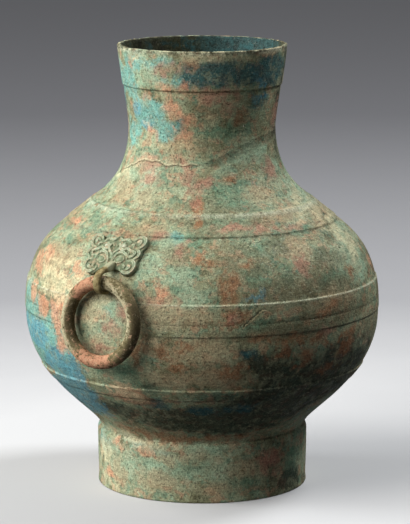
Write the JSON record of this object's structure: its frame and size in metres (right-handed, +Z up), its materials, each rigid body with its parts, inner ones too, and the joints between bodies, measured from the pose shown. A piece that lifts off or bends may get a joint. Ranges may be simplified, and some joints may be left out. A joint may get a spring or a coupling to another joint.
{
  "type": "bronze hu vase",
  "caption": "Hollow bronze hu vase: rounded body on a straight foot ring, flared neck, raised bands, and monster-mask handles whose loose rings swing.",
  "frame": {"origin": "on the table under the middle of the foot ring", "axes": "+Z up the axis of the vase, +X out through the right handle, -X out through the left handle, -Y towards the plain front"},
  "size_m": [0.2906, 0.267, 0.33],
  "materials": {
    "vessel_patina": "matt corroded bronze, sage green with turquoise, tan and red-brown patches",
    "mask_patina": "matt pale sage patina with darker recesses",
    "ring_patina": "matt salmon, olive and dark brown patina"
  },
  "bodies": {
    "vase": {"vessel": "vessel_patina", "mask_left": "mask_patina", "mask_right": "mask_patina"},
    "ring_left": {"ring_left": "ring_patina"},
    "ring_right": {"ring_right": "ring_patina"}
  },
  "joints": [
    {"name": "ring_left_swing", "type": "hinge", "parent": "vase", "child": "ring_left", "pos_m": [-0.13368, -0.0032, 0.17127], "axis": [0, 1, 0], "range_deg": [0, 190]},
    {"name": "ring_right_swing", "type": "hinge", "parent": "vase", "child": "ring_right", "pos_m": [0.13368, 0.0032, 0.17127], "axis": [0, -1, 0], "range_deg": [0, 190]}
  ]
}
